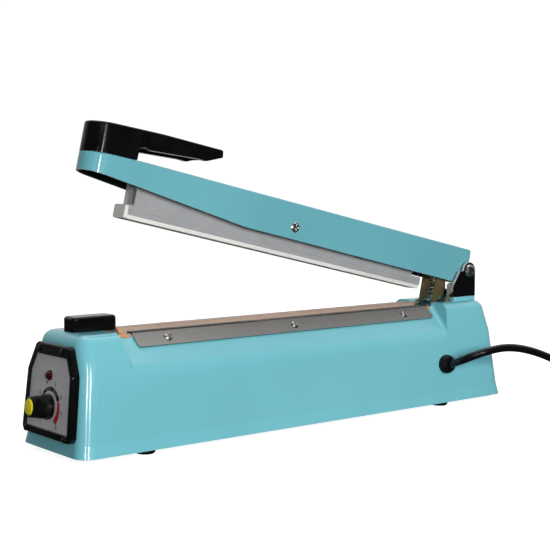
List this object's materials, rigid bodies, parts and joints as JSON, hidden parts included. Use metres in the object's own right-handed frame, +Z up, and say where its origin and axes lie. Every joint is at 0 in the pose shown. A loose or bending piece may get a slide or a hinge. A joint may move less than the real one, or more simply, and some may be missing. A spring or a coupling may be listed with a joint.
{
  "type": "impulse heat sealer",
  "caption": "Hand impulse heat sealer: painted steel base with a heated ridge, a hinged arm with a silicone press strip, timer knob and mains lead.",
  "frame": {"origin": "on the table under the middle of the sealer's box, cord left out", "axes": "+X from the control panel to the hinge, -Y is the side the cord leaves, +Z up"},
  "size_m": [0.6459, 0.1698, 0.2318],
  "materials": {
    "enamel_teal": "glossy enamel with a slight orange peel",
    "gloss_black": "glossy moulded plastic",
    "black_paint": "glossy black paint",
    "zinc_plate": "bright zinc plate",
    "yellow_zinc": "yellow passivated zinc",
    "stainless": "brushed",
    "aluminium": "mill finish extrusion",
    "silicone": "soft, matt",
    "black_rubber": "matt",
    "cable_jacket": "satin",
    "ptfe_glass": "fine woven glass, PTFE coated",
    "brass": "bright",
    "nichrome": "rolled ribbon",
    "phenolic": "matt",
    "white_nylon": "satin",
    "beige_nylon": "satin",
    "yellow_plastic": "glossy",
    "red_lens": "clear tinted",
    "dial_print": "silver-grey print",
    "circuit_board": "solder mask",
    "capacitor_sleeve": "shrink sleeve",
    "relay_case": "satin",
    "lamination": "varnished laminations",
    "winding_tape": "polyester tape"
  },
  "bodies": {
    "base": {"base_housing": "enamel_teal", "bottom_plate": "zinc_plate", "rubber_feet": "black_rubber", "base_screws": "zinc_plate", "panel_bezel": "gloss_black", "dial_plate": "dial_print", "bezel_screws": "black_paint", "indicator_lamp": "red_lens", "potentiometer": "zinc_plate", "pot_nut": "zinc_plate", "timer_board": "circuit_board", "timer_relay": "relay_case", "timer_capacitor": "capacitor_sleeve", "board_pillars": "white_nylon", "transformer_core": "lamination", "transformer_winding": "winding_tape", "transformer_brackets": "zinc_plate", "mains_terminal_block": "white_nylon", "switch_shelf": "zinc_plate", "microswitch": "phenolic", "plunger_guide": "beige_nylon", "hinge_bracket": "black_paint", "hinge_bracket_screws": "zinc_plate", "hinge_pin": "zinc_plate", "pin_clip": "zinc_plate", "heater_bar": "aluminium", "insulation_tape": "ptfe_glass", "heater_strip": "nichrome", "front_terminal": "brass", "rear_terminal": "brass", "terminal_screws": "zinc_plate", "ptfe_cloth": "ptfe_glass", "clamp_strip_near": "stainless", "clamp_strip_far": "stainless", "clamp_strip_screws": "zinc_plate", "terminal_cover": "gloss_black", "cover_screw": "zinc_plate", "return_spring": "zinc_plate", "cord_gland": "black_rubber", "power_cord": "cable_jacket", "cord_coil": "cable_jacket", "plug_body": "gloss_black", "plug_pins": "brass"},
    "arm": {"arm_shell": "enamel_teal", "handle": "gloss_black", "handle_screws": "zinc_plate", "pivot_sleeve": "zinc_plate", "spring_bracket": "yellow_zinc", "bracket_rivets": "zinc_plate", "bar_pivot_screw": "zinc_plate", "bar_pivot_nut": "zinc_plate", "bar_spacers": "white_nylon"},
    "press_bar": {"press_channel": "aluminium", "strip_holder": "aluminium", "silicone_strip": "silicone"},
    "timer_dial": {"timer_knob": "gloss_black", "knob_cap": "yellow_plastic", "pot_shaft": "zinc_plate"},
    "switch": {"switch_plunger": "white_nylon", "switch_button": "gloss_black"}
  },
  "joints": [
    {"name": "arm_hinge", "type": "hinge", "parent": "base", "child": "arm", "pos_m": [0.2002, 0, 0.1109], "axis": [0, 1, 0], "range_deg": [-12.8, 0], "stiffness_Nm_per_rad": 6, "springref_deg": 17.19, "deforming": ["return_spring"]},
    {"name": "press_bar_tilt", "type": "hinge", "parent": "arm", "child": "press_bar", "pos_m": [0.00501, 0, 0.1536], "axis": [0, 1, 0], "range_deg": [-0.1, 0.1]},
    {"name": "timer_turn", "type": "hinge", "parent": "base", "child": "timer_dial", "pos_m": [-0.19865, 0, 0.03455], "axis": [-0.9946, 0, 0.1037], "range_deg": [-140, 140]},
    {"name": "switch_press", "type": "slide", "parent": "base", "child": "switch", "axis": [0, 0, 1], "range_m": [-0.002, 0]}
  ],
  "couplings": [
    {"joint": "switch_press", "follows": "arm_hinge", "m_per_rad": 0.0085}
  ]
}
